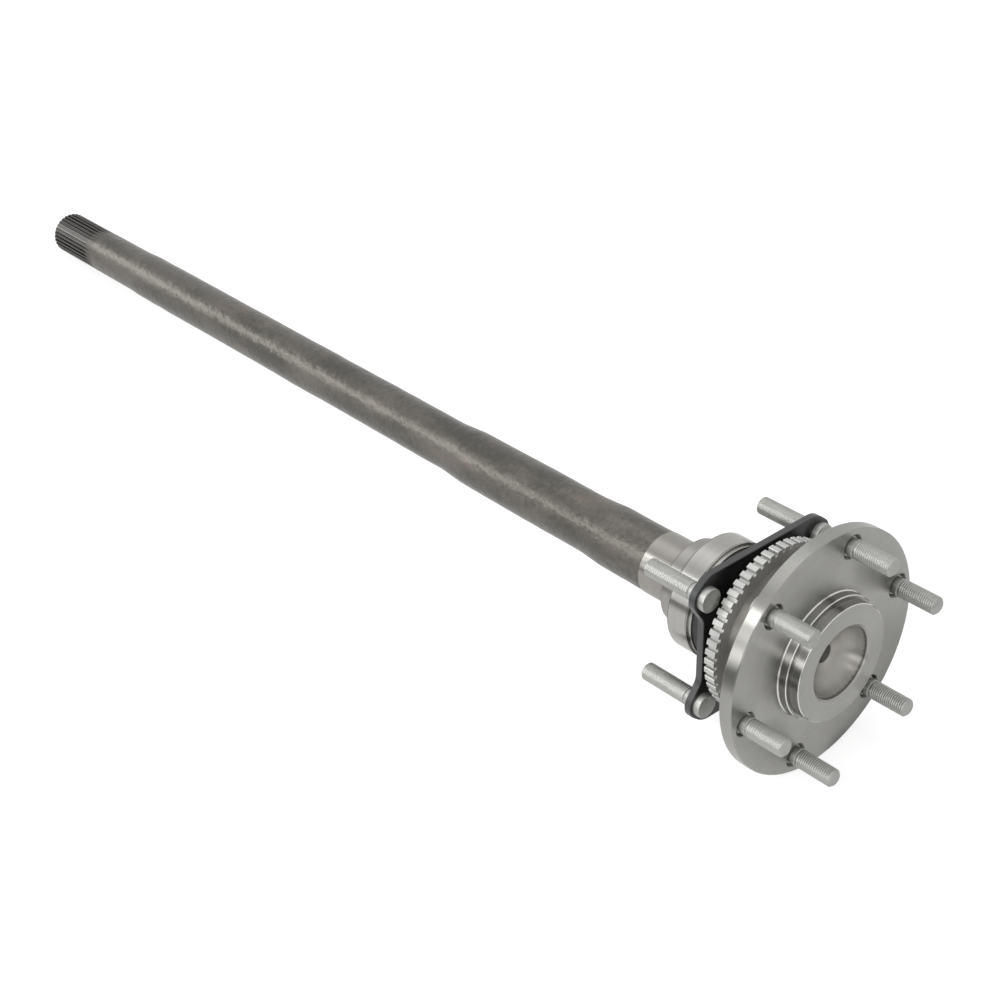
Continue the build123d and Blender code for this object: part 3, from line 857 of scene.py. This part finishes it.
# %% [markdown]
# ## Floor and lamps
# The part lies on the rim of its flange and on its splined end, so the floor leans to touch
# both. The floor is pale and shows the shadow, and to the camera and to reflections it adds its
# own light up to white. The world does the same, so that metal mirrors a white room. Four soft
# lamps then draw the bands that tell the eye that the metal is round.

# %% Floor
FLANGE_RADIUS = 81.8
TAIL_RADIUS = 17.1
TAIL_FACE = -850.0
FLOOR_GAP = 0.3
FLOOR_REACH = 6000.0
FLOOR_GREY = (0.5, 0.5, 0.5, 1)
FLOOR_GLOW = 0.63
CAMERA_GLOW = 0.09


def seen_directly(tree):
    """1 for rays from the camera, a mirror or glass, and 0 for light that is scattered."""
    path = add_node(tree, "ShaderNodeLightPath").outputs
    seen = work_out(tree, "MAXIMUM", path["Is Camera Ray"], path["Is Glossy Ray"])
    return work_out(tree, "MAXIMUM", seen, path["Is Transmission Ray"])


def add_sheet(name, corners, height):
    """A flat sheet of (x, y) corners at a height over the leaning floor, and its empty tree.

    The floor's slope is the drop from the splined end's radius to the flange's, over the length.
    """
    slope = (FLANGE_RADIUS - TAIL_RADIUS) / -TAIL_FACE
    points = [(x, y, height - FLANGE_RADIUS - slope * x) for x, y in corners]
    mesh = bpy.data.meshes.new(name)
    mesh.from_pydata((np.array(points) * MM).tolist(), [], [list(range(len(points)))])
    material = bpy.data.materials.new(name)
    material.use_nodes = True
    material.node_tree.nodes.clear()
    mesh.materials.append(material)
    sheet = bpy.data.objects.new(name, mesh)
    bpy.context.scene.collection.objects.link(sheet)
    return sheet, material.node_tree


def add_floor():
    """A pale floor under the lowest points of the flange's rim and of the splined end."""
    near, far = -FLOOR_REACH, FLOOR_REACH
    corners = [(near, near), (far, near), (far, far), (near, far)]
    floor, tree = add_sheet("floor", corners, -FLOOR_GAP)
    scattered = add_node(tree, "ShaderNodeBsdfDiffuse", {"Color": FLOOR_GREY}).outputs[0]
    camera_ray = add_node(tree, "ShaderNodeLightPath").outputs["Is Camera Ray"]
    own = work_out(tree, "MULTIPLY", seen_directly(tree), FLOOR_GLOW)
    own = work_out(tree, "MULTIPLY_ADD", camera_ray, CAMERA_GLOW, own)
    glow = add_node(tree, "ShaderNodeEmission", {"Strength": own}).outputs[0]
    both = add_node(tree, "ShaderNodeAddShader", {0: scattered, 1: glow}).outputs[0]
    add_node(tree, "ShaderNodeOutputMaterial", {"Surface": both})
    return floor


print("stage", add_floor().name)

# %% [markdown]
# Turned steel shows a dark band under each bright one, and the flange's face is darker where it
# mirrors the floor in front of its rim. Two sheets just over the floor give both as painted
# reflections: the near one paints a dark room on the table's near side, the other paints the
# flange's shadow in front of its rim. They are seen only by rays that a shiny surface sends out,
# so they neither show in the picture nor take light away.

# %% Painted dark reflections
SHADE_SHEET_HEIGHT = 0.3
SHADE_SHEET_GLOW = 0.25
NEAR_PAINTED_SHADE = [(-450, -FLOOR_REACH), (FLOOR_REACH, -FLOOR_REACH), (FLOOR_REACH, -270), (-450, -270)]
RIM_PAINTED_SHADOW = [(1, 10), (14, 50), (27, 90), (47, 145), (30, 190), (1, 190)]


def add_painted_shade_sheet(name, corners):
    """A sheet just over the floor that glows dark grey, for shiny surfaces alone: painted shade.
    """
    shade_sheet, tree = add_sheet(name, corners, SHADE_SHEET_HEIGHT)
    glow = add_node(tree, "ShaderNodeEmission", {"Strength": SHADE_SHEET_GLOW}).outputs[0]
    add_node(tree, "ShaderNodeOutputMaterial", {"Surface": glow})
    shade_sheet.visible_camera = False
    shade_sheet.visible_diffuse = False
    shade_sheet.visible_shadow = False
    print("stage", shade_sheet.name)


# Painted dark reflection of the room on the table's near side.
add_painted_shade_sheet("near_painted_shade", NEAR_PAINTED_SHADE)
# Painted shadow of the flange, as its face mirrors the floor.
add_painted_shade_sheet("rim_painted_shadow", RIM_PAINTED_SHADOW)

# %% [markdown]
# A lamp's power doesn't say how bright it looks in a mirror, so each lamp here is given by its
# brightness, where 1 is white, and its power follows from its area. One long lamp draws the
# stripe on the bar, two in front draw the bands on the flange and bearing, and a wide faint one
# above fills in.

# %% World and lamps
WHITE = (1, 1, 1, 1)
AMBIENT = 0.55
LAMPS = {
    # Place, the point that it faces, width, height and brightness.
    "stripe_lamp": ((-1.80, -1.10, 0.66), (-0.45, 0, 0), 1.9, 0.32, 3.9),
    "low_front_lamp": ((0.10, -1.20, 0.20), (0.0, 0, 0.02), 0.8, 0.26, 8.5),
    "high_front_lamp": ((-0.10, -0.94, 0.79), (-0.05, 0, 0.02), 1.2, 0.24, 7.0),
    "lamp_above": ((-0.35, 0.1, 1.5), (-0.3, 0, 0), 1.6, 1.2, 0.75),
}


def set_world():
    """White to the camera and in reflections, and a softer grey as scattered light."""
    world = bpy.data.worlds.new("white_room")
    bpy.context.scene.world = world
    world.use_nodes = True
    tree = world.node_tree
    strength = between(tree, seen_directly(tree), 0.0, 1.0, AMBIENT, 1.0)
    background = tree.nodes["Background"]
    background.inputs["Color"].default_value = WHITE
    tree.links.new(strength, background.inputs["Strength"])


def add_lamp(name, place, target, width, height, brightness):
    """A rectangular lamp that faces its target: its power is pi x area x brightness."""
    data = bpy.data.lights.new(name, "AREA")
    data.shape = "RECTANGLE"
    data.size, data.size_y = width, height
    data.energy = math.pi * width * height * brightness
    lamp = bpy.data.objects.new(name, data)
    bpy.context.scene.collection.objects.link(lamp)
    lamp.location = place
    lamp.rotation_euler = (Vector(target) - Vector(place)).to_track_quat("-Z", "Y").to_euler()
    print(name, round(data.energy, 2), "W")


set_world()
for lamp_name, settings in LAMPS.items():
    add_lamp(lamp_name, *settings)

# %% [markdown]
# ## View transform
# The Standard view transform shows colours as they are written.

# %% View transform
bpy.context.scene.view_settings.view_transform = "Standard"
